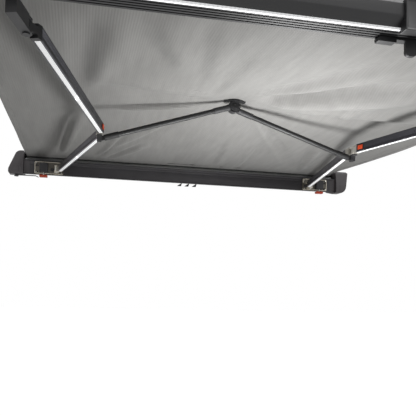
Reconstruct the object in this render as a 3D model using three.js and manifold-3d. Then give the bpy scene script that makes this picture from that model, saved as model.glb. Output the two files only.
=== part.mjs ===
// Vehicle side awning: a housing on the vehicle's side, two folding arms, a lead rail, a two-tube brace
// with a coupling hub between the elbows, and a fabric that the hub lifts.
// Millimetres. X runs along the housing, the awning opens towards -Y, +Z is up. The origin is on the
// housing's back face, at the height of the arms.

import * as THREE from 'three';
import { mergeVertices } from 'three/addons/utils/BufferGeometryUtils.js';
import Module from 'manifold-3d';

const wasm = await Module();
wasm.setup();

// Driving dimensions
const overallWidth = 2100;
const seatGap = 0.3;
const runGap = 0.5;
const overrun = 5;
const arcSteps = 5;
const roundSides = 24;
const smallSides = 16;

const housing = {
  depth: 103, bottom: -31, backBottom: -10, lip: 55, top: 104, wall: 3, corner: 10, edge: 2,
  lipBead: 3, lipBeadHeight: 7, skirt: 8, roofReach: 76, noseDrop: 14, noseSlant: 8,
  recessWidth: 34, recessBottom: -22, recessTop: 48, grooveDepth: 1, grooveHeight: 2, grooveFromLip: 24,
};
const cap = {
  width: 82, depth: 122, bottom: -36, backBottom: -14, flatDepth: 44, top: 107, frontSlant: 12,
  frontCorner: 24, backCorner: 8, lowerCorner: 10, wideRound: 56, narrowRound: 14, seamWidth: 1.5,
  seamDepth: 1.2, seamFromEdge: 24,
};
const roller = {
  centreY: -50, centreZ: 58, radius: 24, wall: 3, plugLength: 30, endGap: 6, pinRadius: 8,
  grooveWidth: 6, grooveDepth: 2,
};
const arm = {
  length: 760, restAngle: 15.9, capClear: 188, shoulderY: -140,
  width: 26, height: 36, wall: 3, corner: 2, partGap: 2, setback: 34,
  lightWidth: 16, lightDepth: 4, lightRound: 1.4, ribDepth: 0.8, ribPitch: 5, ribCount: 4, ribFromTop: 6,
};
const joint = {
  barrelRadius: 12, earRadius: 14, earThickness: 7.1, pinRadius: 6, pinHeadRadius: 9, pinHeadHeight: 2.6,
  blockStart: 20, plugLength: 30,
};
const clip = { length: 24, height: 18, thickness: 2.4, fromPivot: 42 };
const bracket = {
  outward: 125, inward: 36, bottom: -26, top: 44, plate: 6, corner: 6, columnWidth: 28,
  blockWindow: 47, windowBottom: -20, windowTop: 37, postWidth: 14, pinWindow: 62, pinWindowHeight: 17,
  holeRadius: 6, holeZ: -14, slotZ: 22, slotRadius: 5, slotLength: 10, ribHeight: 5, ribWidth: 4,
};
const block = { depth: 24, edge: 3 };
const release = {
  stemRadius: 4, stemInBlock: 22, stemDrop: 13, tabWidth: 46, tabDepth: 20, tabHeight: 15, tabCorner: 4,
};
const latch = {
  pivotFromEnd: 44, pivotY: -100, length: 108, width: 15, thickness: 3.4, tipDrop: 7, tipLength: 16,
  shaftRadius: 4.5, knobRadius: 12.5, knobHeight: 6, knobEdge: 2,
};
const foot = { width: 28, depth: 18, height: 18, taper: 4, spacing: 46, centreY: -84 };
const brace = {
  hubRise: 184, hingeDrop: 36, tubeRadius: 10.5, socketRadius: 12.5, sideOffset: 13.5, socketLength: 60,
  tongue: 8, tongueHeight: 18, tongueReach: 22, plateThickness: 3, cheek: 4.5, cheekReach: 10, cheekDepth: 46,
  hingePin: 3, sleeveLength: 70, discRadius: 25, discThickness: 11, midGap: 1, lugHeight: 20,
};
const hubButton = { radius: 11, height: 7, travel: 4, shank: 6 };
const hubPad = { width: 96, depth: 23, height: 6, corner: 3 };
const rail = {
  fromPivot: 80, bottom: 20, top: 95, bottomDepth: 46, depth: 58, bulgeLow: 48, bulgeHigh: 78, wall: 3,
  corner: 6, notchDepth: 6, notchHeight: 6, ribWidth: 4, ribDepth: 2, ribPitch: 9, ribCount: 4, ribStart: 6,
  topGroove: 5, topGrooveDepth: 4, capThickness: 9,
};
const railBracket = {
  barHalf: 13, barStart: 15, barInset: 2, plateThickness: 5.4, plateReach: 34, plateHalf: 22,
};
const railCatch = {
  left: 64, right: 168, thickness: 12, depth: 16, tongueWidth: 30, tongueDrop: 42, tongueThickness: 8,
  neckLeft: 112, neckThickness: 5, corner: 5,
};
const canopy = {
  sideClear: 10, thickness: 1.6, rollerLift: 2, railLift: 1.2, edgeSag: 20, sagPower: 3, tentPower: 1.2,
  normPower: 2.4, plateauShare: 0.11, across: 24, along: 20, padClear: 0.8, foldDepth: 5, foldCount: 9,
};

const radians = THREE.MathUtils.degToRad;
const halfWidth = overallWidth / 2;
const capInner = halfWidth - cap.width;
const canopyHalf = capInner - canopy.sideClear;
const shoulderX = capInner - arm.capClear;
const restSin = Math.sin(radians(arm.restAngle));
const restCos = Math.cos(radians(arm.restAngle));
const elbowX = shoulderX - arm.length * restSin;
const elbowY = arm.shoulderY - arm.length * restCos;
const wristY = arm.shoulderY - 2 * arm.length * restCos;
const armHalf = arm.height / 2;
const tubeMid = arm.partGap / 2 + arm.width / 2;
const earInner = armHalf - joint.earThickness;
const barrelHalf = earInner - runGap;
const boreRadius = joint.pinRadius + runGap;
const frontWall = -housing.depth;
const braceLength = Math.hypot(elbowX, brace.hubRise);
const bracePitch = Math.atan2(brace.hubRise, elbowX);
const hingeZ = -brace.hingeDrop;
const hubZ = hingeZ + brace.hubRise;
const railInner = wristY - rail.fromPivot;

// Materials
const finish = (colour, roughness, metalness) =>
  new THREE.MeshStandardMaterial({ color: colour, roughness, metalness });
const blackCoat = () => finish(0x1b1b1d, 0.6, 0.2);
const blackPlastic = () => finish(0x18181a, 0.55, 0);
const rubber = () => finish(0x101011, 0.9, 0);
const castMetal = () => finish(0xc9c9c4, 0.4, 0.9);
const armMetal = () => finish(0x3a3b3e, 0.45, 0.8);
const steel = () => finish(0xd5d5d8, 0.25, 1);
const orange = () => finish(0xd8430f, 0.5, 0);
const lightStrip = () => finish(0xf6f8fb, 0.4, 0);
const cloth = () => finish(0x8f8f8c, 0.9, 0);

// Closed outline from corners [a, b, radius]
function outline(corners) {
  const shape = new THREE.Shape();
  corners.forEach(([a, b, radius = 0], index) => {
    if (!radius) {
      if (index) shape.lineTo(a, b);
      else shape.moveTo(a, b);
      return;
    }
    const here = new THREE.Vector2(a, b);
    const before = corners[(index + corners.length - 1) % corners.length];
    const after = corners[(index + 1) % corners.length];
    const back = new THREE.Vector2(before[0], before[1]).sub(here).normalize();
    const ahead = new THREE.Vector2(after[0], after[1]).sub(here).normalize();
    const half = Math.acos(THREE.MathUtils.clamp(back.dot(ahead), -1, 1)) / 2;
    const centre = back.clone().add(ahead).normalize().multiplyScalar(radius / Math.sin(half)).add(here);
    const start = back.clone().multiplyScalar(radius / Math.tan(half)).add(here).sub(centre);
    const end = ahead.clone().multiplyScalar(radius / Math.tan(half)).add(here).sub(centre);
    const turn = back.x * ahead.y - back.y * ahead.x;
    shape.absarc(centre.x, centre.y, radius, Math.atan2(start.y, start.x), Math.atan2(end.y, end.x), turn > 0);
  });
  return shape;
}

function rectangle(a0, a1, b0, b1, radius = 0) {
  return outline([[a0, b0, radius], [a1, b0, radius], [a1, b1, radius], [a0, b1, radius]]);
}

// Prisms: an outline in (y, z) along X, in (x, z) along Y, or in (x, y) along Z
function extruded(shape, length, steps) {
  return new THREE.ExtrudeGeometry(shape, { depth: length, bevelEnabled: false, curveSegments: steps, steps: 1 });
}

function prismX(shape, from, to, steps = arcSteps) {
  const turned = new THREE.Matrix4().makeBasis(
    new THREE.Vector3(0, 1, 0), new THREE.Vector3(0, 0, 1), new THREE.Vector3(1, 0, 0));
  return extruded(shape, to - from, steps).applyMatrix4(turned).translate(from, 0, 0);
}

function prismY(shape, from, to, steps = arcSteps) {
  const turned = new THREE.Matrix4().makeBasis(
    new THREE.Vector3(1, 0, 0), new THREE.Vector3(0, 0, 1), new THREE.Vector3(0, -1, 0));
  return extruded(shape, to - from, steps).applyMatrix4(turned).translate(0, to, 0);
}

function prismZ(shape, from, to, steps = arcSteps) {
  return extruded(shape, to - from, steps).translate(0, 0, from);
}

function block3(x0, x1, y0, y1, z0, z1) {
  return new THREE.BoxGeometry(x1 - x0, y1 - y0, z1 - z0)
    .translate((x0 + x1) / 2, (y0 + y1) / 2, (z0 + z1) / 2);
}

function rodZ(radius, x, y, z0, z1, sides = roundSides) {
  return new THREE.CylinderGeometry(radius, radius, z1 - z0, sides)
    .rotateX(Math.PI / 2).translate(x, y, (z0 + z1) / 2);
}

function rodY(radius, x, z, y0, y1, sides = roundSides) {
  return new THREE.CylinderGeometry(radius, radius, y1 - y0, sides).translate(x, (y0 + y1) / 2, z);
}

function rodX(radius, y, z, x0, x1, sides = roundSides) {
  return new THREE.CylinderGeometry(radius, radius, x1 - x0, sides)
    .rotateZ(-Math.PI / 2).translate((x0 + x1) / 2, y, z);
}

// Booleans
function welded(geometry) {
  const bare = geometry.clone();
  bare.deleteAttribute('normal');
  bare.deleteAttribute('uv');
  return mergeVertices(bare);
}

function toSolid(geometry) {
  const merged = welded(geometry);
  return new wasm.Manifold(new wasm.Mesh({
    numProp: 3,
    vertProperties: new Float32Array(merged.attributes.position.array),
    triVerts: new Uint32Array(merged.index.array),
  }));
}

function toGeometry(solid) {
  const mesh = solid.getMesh();
  const geometry = new THREE.BufferGeometry();
  geometry.setAttribute('position', new THREE.BufferAttribute(new Float32Array(mesh.vertProperties), 3));
  geometry.setIndex(new THREE.BufferAttribute(new Uint32Array(mesh.triVerts), 1));
  geometry.computeVertexNormals();
  return geometry;
}

function join(first, ...others) {
  return toGeometry(others.reduce((whole, other) => whole.add(toSolid(other)), toSolid(first)));
}

function cut(first, ...others) {
  return toGeometry(others.reduce((whole, other) => whole.subtract(toSolid(other)), toSolid(first)));
}

function meet(first, second) {
  return toGeometry(toSolid(first).intersect(toSolid(second)));
}

// The same geometry on the other side of x = 0, z = 0 or, for an arm's own frame, y = 0
const mirrorScales = { x: [-1, 1, 1], y: [1, -1, 1], z: [1, 1, -1] };
function mirrored(geometry, axis) {
  const copy = welded(geometry).scale(...mirrorScales[axis]);
  const index = Array.from(copy.index.array);
  for (let corner = 0; corner < index.length; corner += 3) {
    [index[corner], index[corner + 1]] = [index[corner + 1], index[corner]];
  }
  copy.setIndex(index);
  copy.computeVertexNormals();
  return copy;
}

const awning = new THREE.Group();

function add(name, geometry, material, parent = awning) {
  const mesh = new THREE.Mesh(geometry, material);
  mesh.name = name;
  parent.add(mesh);
}

// A piece of the left side and its mirror image on the right
function addPair(name, geometry, material, left = awning, right = awning, axis = 'x') {
  add(`${name}_left`, geometry, material(), left);
  add(`${name}_right`, mirrored(geometry, axis), material(), right);
}

// Housing: one extrusion, open above the lip where the fabric comes out
function housingShell() {
  const { bottom, backBottom, lip, top, wall, corner, edge } = housing;
  const inner = corner - wall;
  const noseY = -housing.roofReach - housing.noseSlant;
  const noseZ = top - housing.noseDrop;
  const groove = lip - housing.grooveFromLip;
  const profile = outline([
    [frontWall - housing.lipBead, lip, edge / 2],
    [frontWall - housing.lipBead, lip - housing.lipBeadHeight, edge / 2],
    [frontWall, lip - housing.lipBeadHeight - housing.lipBead],
    [frontWall, groove],
    [frontWall + housing.grooveDepth, groove - housing.grooveHeight / 2],
    [frontWall, groove - housing.grooveHeight],
    [frontWall, bottom + wall + edge],
    [frontWall - housing.skirt, bottom + wall],
    [frontWall - housing.skirt, bottom],
    [0, backBottom, edge],
    [0, top, corner],
    [-housing.roofReach, top, corner],
    [noseY, noseZ],
    [noseY + wall, noseZ],
    [-housing.roofReach + wall / 2, top - wall, inner],
    [-wall, top - wall, inner],
    [-wall, backBottom + wall],
    [frontWall + wall, bottom + wall],
    [frontWall + wall, lip],
  ]);
  const end = capInner - seatGap;
  const recess = block3(end - housing.recessWidth, end + overrun, frontWall - overrun, frontWall + wall + overrun,
    housing.recessBottom, housing.recessTop);
  return cut(prismX(profile, -end, end), recess, mirrored(recess, 'x'));
}
add('housing_shell', housingShell(), blackCoat());

// End cap: a moulded block whose underside rises towards the vehicle. One moulding serves both ends, so its
// wide round outer corner is above at the left end and below at the right end
function endCap(lowRound, highRound) {
  const side = outline([
    [0, cap.backBottom, cap.backCorner], [0, cap.top, cap.backCorner],
    [-cap.depth + cap.frontSlant, cap.top, cap.frontCorner],
    [-cap.depth, cap.bottom + cap.frontCorner * 2, cap.frontCorner],
    [-cap.depth, cap.bottom, cap.lowerCorner],
    [-cap.depth + cap.flatDepth, cap.bottom],
  ]);
  const front = outline([
    [-halfWidth, cap.bottom, lowRound], [-capInner, cap.bottom], [-capInner, cap.top],
    [-halfWidth, cap.top, highRound],
  ]);
  const body = meet(prismX(side, -halfWidth, -capInner), prismY(front, -cap.depth - overrun, overrun, roundSides / 2));
  const seamX = -capInner - cap.seamFromEdge;
  const seam = block3(seamX - cap.seamWidth, seamX, -cap.depth - overrun, -cap.depth + cap.seamDepth,
    cap.bottom - overrun, cap.top + overrun);
  return cut(body, seam);
}
add('end_cap_left', endCap(cap.narrowRound, cap.wideRound), blackPlastic());
add('end_cap_right', mirrored(endCap(cap.wideRound, cap.narrowRound), 'x'), blackPlastic());

// Roller and its pins
function rollerTube() {
  const end = capInner - roller.endGap;
  const inner = roller.radius - roller.wall;
  const bore = roller.pinRadius + runGap;
  const plugEnd = end - roller.plugLength;
  const points = [
    [bore, -end], [roller.radius, -end], [roller.radius, end], [bore, end],
    [bore, plugEnd], [inner, plugEnd], [inner, -plugEnd], [bore, -plugEnd], [bore, -end],
  ].map(([radius, along]) => new THREE.Vector2(radius, along));
  const tube = new THREE.LatheGeometry(points, roundSides).rotateZ(-Math.PI / 2)
    .translate(0, roller.centreY, roller.centreZ);
  const grooveTop = roller.centreZ + roller.radius;
  const groove = block3(-end - overrun, end + overrun, roller.centreY - roller.grooveWidth / 2,
    roller.centreY + roller.grooveWidth / 2, grooveTop - roller.grooveDepth, grooveTop + overrun);
  return cut(tube, groove);
}
add('roller_tube', rollerTube(), steel());
addPair('roller_pin', rodX(roller.pinRadius, roller.centreY, roller.centreZ, -capInner + seatGap,
  -capInner + roller.endGap + roller.plugLength, smallSides), steel);

// Places of the spring block and the release stem in the bracket's window
const blockStart = -shoulderX - bracket.outward + bracket.columnWidth + seatGap;
const blockEnd = blockStart + bracket.blockWindow - 2 * seatGap;
const blockMid = (blockStart + blockEnd) / 2;
const stemY = frontWall - seatGap - block.depth / 2;
const blockBottom = bracket.windowBottom + seatGap;

// Shoulder bracket: a die-cast open frame on the front wall, with two ears for the arm's pin
function shoulderBracket() {
  const back = frontWall - seatGap;
  const face = back - bracket.plate;
  const outer = -shoulderX - bracket.outward;
  const inner = -shoulderX + bracket.inward;
  const windowStart = outer + bracket.columnWidth;
  const windowEnd = windowStart + bracket.blockWindow;
  const pinWindowStart = windowEnd + bracket.postWidth;
  const plate = prismY(rectangle(outer, inner, bracket.bottom, bracket.top, bracket.corner), face, back);
  const rib = cut(
    prismY(rectangle(outer, inner, bracket.bottom, bracket.top, bracket.corner), face - bracket.ribHeight, back),
    prismY(rectangle(outer + bracket.ribWidth, inner - bracket.ribWidth, bracket.bottom + bracket.ribWidth,
      bracket.top - bracket.ribWidth), face - bracket.ribHeight - overrun, face),
    block3(pinWindowStart - bracket.postWidth, inner + overrun, face - bracket.ribHeight - overrun, face,
      -armHalf - runGap, armHalf + runGap));
  const ear = (from, to) => join(
    block3(-shoulderX - joint.earRadius, -shoulderX + joint.earRadius, arm.shoulderY, face + overrun / 2, from, to),
    rodZ(joint.earRadius, -shoulderX, arm.shoulderY, from, to));
  const slot = join(
    block3(outer + bracket.columnWidth / 2 - bracket.slotLength / 2, outer + bracket.columnWidth / 2
      + bracket.slotLength / 2, face - overrun, back + overrun, bracket.slotZ - bracket.slotRadius,
    bracket.slotZ + bracket.slotRadius),
    rodY(bracket.slotRadius, outer + bracket.columnWidth / 2 - bracket.slotLength / 2, bracket.slotZ,
      face - overrun, back + overrun, smallSides),
    rodY(bracket.slotRadius, outer + bracket.columnWidth / 2 + bracket.slotLength / 2, bracket.slotZ,
      face - overrun, back + overrun, smallSides));
  const pinWindowHalf = bracket.pinWindowHeight / 2;
  return cut(
    join(plate, rib, ear(earInner, armHalf), ear(-armHalf, -earInner)),
    block3(windowStart, windowEnd, face - overrun, back + overrun, bracket.windowBottom, bracket.windowTop),
    block3(pinWindowStart, pinWindowStart + bracket.pinWindow, face - overrun / 2, back + overrun,
      -pinWindowHalf, pinWindowHalf),
    rodY(bracket.holeRadius, outer + bracket.columnWidth / 2, bracket.holeZ, face - overrun, back + overrun,
      smallSides),
    slot,
    rodZ(release.stemRadius + runGap, blockMid, stemY, bracket.bottom - overrun, bracket.windowBottom + overrun,
      smallSides),
    rodZ(joint.pinRadius + seatGap, -shoulderX, arm.shoulderY, -armHalf - overrun, armHalf + overrun));
}
addPair('shoulder_bracket', shoulderBracket(), castMetal);

// Spring block in the bracket's window, with the bore that guides the release stem
function shoulderBlock() {
  const shape = rectangle(blockStart, blockEnd, blockBottom, bracket.windowTop - seatGap, block.edge);
  return cut(
    prismY(shape, frontWall - seatGap - block.depth, frontWall - seatGap),
    rodZ(release.stemRadius + runGap, blockMid, stemY, blockBottom - overrun,
      blockBottom + release.stemInBlock + overrun, smallSides));
}
addPair('shoulder_block', shoulderBlock(), blackPlastic);

// Release pull: a stem in the block and a moulded tab
addPair('release_stem', rodZ(release.stemRadius, blockMid, stemY, bracket.bottom - release.stemDrop,
  blockBottom + release.stemInBlock, smallSides), castMetal);
function releaseTab() {
  const top = bracket.bottom - seatGap * 2;
  const tab = prismY(rectangle(blockMid - release.tabWidth / 2, blockMid + release.tabWidth / 2,
    top - release.stemDrop - release.tabHeight / 2, top - release.tabHeight / 2, release.tabCorner),
  stemY - release.tabDepth / 2, stemY + release.tabDepth / 2);
  return cut(tab, rodZ(release.stemRadius + seatGap, blockMid, stemY, bracket.bottom - release.stemDrop - seatGap,
    bracket.bottom + overrun, smallSides));
}
addPair('release_tab', releaseTab(), orange);

// Pins with a head below
function headedPin(x, y, top, bottom) {
  return join(
    rodZ(joint.pinRadius, x, y, bottom, top, smallSides),
    rodZ(joint.pinHeadRadius, x, y, bottom - joint.pinHeadHeight, bottom, smallSides));
}
addPair('shoulder_pin', headedPin(-shoulderX, arm.shoulderY, armHalf + joint.pinHeadHeight,
  -armHalf - seatGap), steel);

// Travel latch under the left end cap
const latchX = -halfWidth + latch.pivotFromEnd;
const leverTop = cap.bottom - runGap;
function latchLever() {
  const plan = outline([
    [latchX - latch.width / 2, latch.pivotY - latch.width / 2, latch.width / 2 - seatGap],
    [latchX + latch.length, latch.pivotY - latch.width / 2],
    [latchX + latch.length, latch.pivotY + latch.width / 4],
    [latchX - latch.width / 2, latch.pivotY + latch.width / 2, latch.width / 2 - seatGap],
  ]);
  const bar = prismZ(plan, leverTop - latch.thickness, leverTop);
  const tip = prismY(outline([
    [latchX + latch.length - seatGap, leverTop], [latchX + latch.length - seatGap, leverTop - latch.thickness],
    [latchX + latch.length + latch.tipLength, leverTop - latch.thickness - latch.tipDrop],
    [latchX + latch.length + latch.tipLength, leverTop - latch.tipDrop],
  ]), latch.pivotY - latch.width / 2, latch.pivotY + latch.width / 4);
  return cut(join(bar, tip), rodZ(latch.shaftRadius + runGap, latchX, latch.pivotY,
    leverTop - latch.thickness - overrun, leverTop + overrun, smallSides));
}
add('latch_lever', latchLever(), blackPlastic());
const knobTop = leverTop - latch.thickness - runGap;
const knobPoints = [
  [0, -latch.knobHeight], [latch.knobRadius - latch.knobEdge, -latch.knobHeight],
  [latch.knobRadius, latch.knobEdge - latch.knobHeight], [latch.knobRadius, 0], [latch.shaftRadius, 0],
  [latch.shaftRadius, cap.bottom - seatGap - knobTop], [0, cap.bottom - seatGap - knobTop],
].map(([radius, along]) => new THREE.Vector2(radius, along));
add('latch_knob', new THREE.LatheGeometry(knobPoints, smallSides).rotateX(Math.PI / 2)
  .translate(latchX, latch.pivotY, knobTop), blackPlastic());

// Rubber feet under the middle of the housing, square to its sloping floor
const floorSlope = Math.atan2(housing.backBottom - housing.bottom, housing.depth + housing.skirt);
const floorAtFoot = housing.backBottom + foot.centreY * Math.tan(floorSlope);
['foot_left', 'foot_centre', 'foot_right'].forEach((name, index) => {
  const x = (index - 1) * foot.spacing;
  const half = foot.width / 2;
  add(name, prismY(outline([
    [-half, 0], [-half + foot.taper, -foot.height, foot.taper / 2],
    [half - foot.taper, -foot.height, foot.taper / 2], [half, 0],
  ]), -foot.depth / 2, foot.depth / 2).rotateX(floorSlope)
    .translate(x, foot.centreY, floorAtFoot - seatGap / Math.cos(floorSlope)), rubber());
});

// Arm frames: the left upper arm runs from the shoulder to the elbow along its own X, the forearm from the
// elbow to the wrist, each with its tube on the side of +Y
function armFrame(x, y, degrees) {
  const frame = new THREE.Group();
  frame.position.set(x, y, 0);
  frame.rotation.z = radians(degrees);
  awning.add(frame);
  return frame;
}
const quarterTurn = 90;
const halfTurn = 180;
const upperAngle = -quarterTurn + arm.restAngle;
const foreAngle = -quarterTurn - arm.restAngle;
const upperLeft = armFrame(-shoulderX, arm.shoulderY, upperAngle);
const upperRight = armFrame(shoulderX, arm.shoulderY, halfTurn - upperAngle);
const foreLeft = armFrame(-elbowX, elbowY, foreAngle);
const foreRight = armFrame(elbowX, elbowY, halfTurn - foreAngle);

// Arm extrusion: hollow, ribbed on both sides, with a slot for the light strip underneath
function armTube() {
  const half = arm.width / 2;
  const ribs = (side) => Array.from({ length: arm.ribCount }, (_, index) => {
    const z = armHalf - arm.ribFromTop - index * arm.ribPitch;
    const face = tubeMid + side * half;
    return [[face, z], [face - side * arm.ribDepth, z - arm.ribPitch / 4],
      [face - side * arm.ribDepth, z - arm.ribPitch / 2], [face, z - arm.ribPitch * 3 / 4]];
  }).flat();
  const slotHalf = arm.lightWidth / 2;
  const profile = outline([
    [tubeMid - slotHalf, -armHalf], [tubeMid - slotHalf, -armHalf + arm.lightDepth],
    [tubeMid + slotHalf, -armHalf + arm.lightDepth], [tubeMid + slotHalf, -armHalf],
    [tubeMid + half, -armHalf, arm.corner], ...ribs(1).reverse(), [tubeMid + half, armHalf, arm.corner],
    [tubeMid - half, armHalf, arm.corner], ...ribs(-1), [tubeMid - half, -armHalf, arm.corner],
  ]);
  profile.holes.push(rectangle(tubeMid - half + arm.wall, tubeMid + half - arm.wall,
    -armHalf + arm.lightDepth + arm.wall, armHalf - arm.wall));
  return prismX(profile, arm.setback, arm.length - arm.setback, 2);
}

function armLight() {
  const half = arm.lightWidth / 2 - seatGap;
  return prismX(outline([
    [tubeMid - half, -armHalf + arm.lightDepth - seatGap], [tubeMid - half, -armHalf, arm.lightRound],
    [tubeMid + half, -armHalf, arm.lightRound], [tubeMid + half, -armHalf + arm.lightDepth - seatGap],
  ]), arm.setback, arm.length - arm.setback, 2);
}

// Plan of an arm's cast end, from its pivot at the frame's origin: a round boss and a flared neck
function endPlan(radius, half) {
  const outside = arm.partGap / 2 + arm.width;
  const neck = outline([
    [0, arm.partGap / 2], [arm.setback - seatGap, arm.partGap / 2], [arm.setback - seatGap, outside], [0, radius],
  ]);
  return [prismZ(neck, -half, half), rodZ(radius, 0, 0, -half, half)];
}

function plug() {
  const half = arm.width / 2 - arm.wall - seatGap;
  return block3(arm.setback - overrun, arm.setback + joint.plugLength, tubeMid - half, tubeMid + half,
    -armHalf + arm.lightDepth + arm.wall + seatGap, armHalf - arm.wall - seatGap);
}

// Single-boss end, used at the shoulder, on the forearm's elbow side and at the wrist
function bossEnd() {
  const outside = arm.partGap / 2 + arm.width;
  const shoulderWidth = joint.barrelRadius + (outside - joint.barrelRadius) * joint.blockStart / arm.setback;
  const fullHeight = prismZ(outline([
    [joint.blockStart, arm.partGap / 2], [arm.setback - seatGap, arm.partGap / 2],
    [arm.setback - seatGap, outside], [joint.blockStart, shoulderWidth],
  ]), -armHalf, armHalf);
  return cut(
    join(...endPlan(joint.barrelRadius, barrelHalf), fullHeight, plug()),
    rodZ(boreRadius, 0, 0, -armHalf - overrun, armHalf + overrun));
}

// Fork end at the upper arm's elbow
function forkEnd() {
  const slotEnd = joint.blockStart - runGap;
  return cut(
    join(...endPlan(joint.earRadius, armHalf), plug()),
    block3(-joint.earRadius - overrun, slotEnd, -joint.earRadius - overrun, arm.width + overrun,
      -earInner, earInner),
    rodZ(joint.pinRadius + seatGap, 0, 0, -armHalf - overrun, armHalf + overrun));
}

// An end turned round to the far pivot of its arm, with its tube side kept
const atFarPivot = (geometry) => mirrored(geometry, 'x').translate(arm.length, 0, 0);

addPair('upper_arm', armTube(), armMetal, upperLeft, upperRight, 'y');
addPair('upper_arm_light', armLight(), lightStrip, upperLeft, upperRight, 'y');
addPair('upper_shoulder_end', bossEnd(), castMetal, upperLeft, upperRight, 'y');
addPair('upper_elbow_fork', atFarPivot(forkEnd()), castMetal, upperLeft, upperRight, 'y');
addPair('forearm', armTube(), armMetal, foreLeft, foreRight, 'y');
addPair('forearm_light', armLight(), lightStrip, foreLeft, foreRight, 'y');
addPair('forearm_elbow_end', bossEnd(), castMetal, foreLeft, foreRight, 'y');
addPair('forearm_wrist_end', atFarPivot(bossEnd()), armMetal, foreLeft, foreRight, 'y');
const clipFace = arm.partGap / 2 + arm.width + seatGap;
addPair('forearm_clip', block3(clip.fromPivot, clip.fromPivot + clip.length, clipFace, clipFace + clip.thickness,
  -clip.height / 2, clip.height / 2), orange, foreLeft, foreRight, 'y');

// Elbow pins reach down through the brace yokes' plates, with their heads on top
const yokeNear = armHalf + runGap;
const yokeFar = yokeNear + brace.plateThickness;
addPair('elbow_pin', mirrored(headedPin(-elbowX, elbowY, yokeFar, -armHalf - seatGap), 'z'), steel);

// Brace yoke: a plate that swivels on the elbow pin under the elbow, with two cheeks for the brace tube's
// tongue. It is drawn upwards and then turned over
function braceYoke(lane) {
  const side = Math.sign(lane);
  const inside = brace.tongue / 2 + runGap;
  const outside = inside + brace.cheek;
  const plate = join(
    rodZ(joint.earRadius, 0, 0, yokeNear, yokeFar),
    block3(-brace.cheekReach, brace.cheekReach, Math.min(0, lane + side * outside), Math.max(0, lane + side * outside),
      yokeNear, yokeFar));
  const cheekShape = outline([
    [-brace.cheekReach, yokeNear], [brace.cheekReach, yokeNear],
    [brace.cheekReach, brace.cheekDepth, brace.cheekReach / 2],
    [-brace.cheekReach, brace.cheekDepth, brace.cheekReach / 2],
  ]);
  const yoke = cut(
    join(plate, prismY(cheekShape, lane - outside, lane - inside), prismY(cheekShape, lane + inside, lane + outside)),
    rodZ(joint.pinRadius + seatGap, 0, 0, yokeNear - overrun, brace.cheekDepth + overrun));
  const pin = rodY(brace.hingePin, 0, brace.hingeDrop, lane - outside, lane + outside, smallSides);
  return mirrored(join(yoke, pin), 'z').translate(-elbowX, elbowY, 0);
}
const laneLeft = -brace.sideOffset;
add('brace_yoke_left', braceYoke(laneLeft), blackPlastic());
add('brace_yoke_right', mirrored(braceYoke(-laneLeft), 'x'), blackPlastic());

// Brace frames: each tube runs from its yoke's hinge to the hub along its own X
function braceFrame(side) {
  const frame = new THREE.Group();
  frame.position.set(-side * elbowX, elbowY, hingeZ);
  frame.rotation.y = -side * bracePitch;
  awning.add(frame);
  return frame;
}
const braceLeft = braceFrame(1);
const braceRight = braceFrame(-1);

function braceTube(lane) {
  const tubeEnd = braceLength - brace.discRadius - brace.lugHeight / 2;
  const tongue = cut(
    join(
      rodY(brace.tongueHeight / 2, 0, 0, lane - brace.tongue / 2, lane + brace.tongue / 2),
      block3(0, brace.tongueReach + overrun, lane - brace.tongue / 2, lane + brace.tongue / 2,
        -brace.tongueHeight / 2, brace.tongueHeight / 2)),
    rodY(brace.hingePin + runGap, 0, 0, lane - brace.tongue, lane + brace.tongue, smallSides));
  return join(
    tongue,
    rodX(brace.socketRadius, lane, 0, brace.tongueReach, brace.tongueReach + brace.socketLength),
    rodX(brace.tubeRadius, lane, 0, brace.tongueReach + brace.socketLength / 2, tubeEnd));
}

function braceHub(lane, near) {
  const facing = Math.sign(lane) * brace.midGap;
  const far = facing + Math.sign(lane) * brace.discThickness;
  const low = Math.min(facing, far);
  const high = Math.max(facing, far);
  const sleeveEnd = braceLength - brace.discRadius - seatGap;
  const sleeveStart = sleeveEnd - brace.sleeveLength;
  const lug = block3(sleeveEnd - overrun, braceLength, low, high, -brace.lugHeight / 2, brace.lugHeight / 2);
  const body = join(
    rodX(brace.socketRadius, lane, 0, sleeveStart, sleeveEnd),
    lug,
    rodY(brace.discRadius, braceLength, 0, low, high));
  const recess = rodY(hubButton.shank + (near ? runGap : 0), braceLength, 0, low - overrun, high + overrun);
  return cut(body, recess, rodX(brace.tubeRadius + seatGap, lane, 0, sleeveStart - overrun,
    braceLength - brace.discRadius - brace.lugHeight / 2 + seatGap));
}
add('brace_tube_left', braceTube(laneLeft), blackCoat(), braceLeft);
add('brace_tube_right', mirrored(braceTube(-laneLeft), 'x'), blackCoat(), braceRight);
add('brace_hub_left', braceHub(laneLeft, true), blackPlastic(), braceLeft);
add('brace_hub_right', mirrored(braceHub(-laneLeft, false), 'x'), blackPlastic(), braceRight);

// Hub button on the front half, and the pad that carries the fabric
function hubButtonShape() {
  const face = elbowY - brace.midGap - brace.discThickness;
  const outer = face - hubButton.travel - runGap;
  return join(
    rodY(hubButton.radius, 0, hubZ, outer - hubButton.height + hubButton.travel, outer),
    rodY(hubButton.shank, 0, hubZ, outer - seatGap, elbowY - brace.midGap - hubButton.travel - runGap));
}
add('hub_button', hubButtonShape(), blackPlastic());
function hubPadShape() {
  const bottom = hubZ + brace.discRadius + seatGap;
  return prismY(rectangle(-hubPad.width / 2, hubPad.width / 2, bottom, bottom + hubPad.height, hubPad.corner - seatGap),
    elbowY - brace.midGap - hubPad.depth, elbowY - brace.midGap);
}
add('hub_pad', hubPadShape(), rubber());

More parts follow.
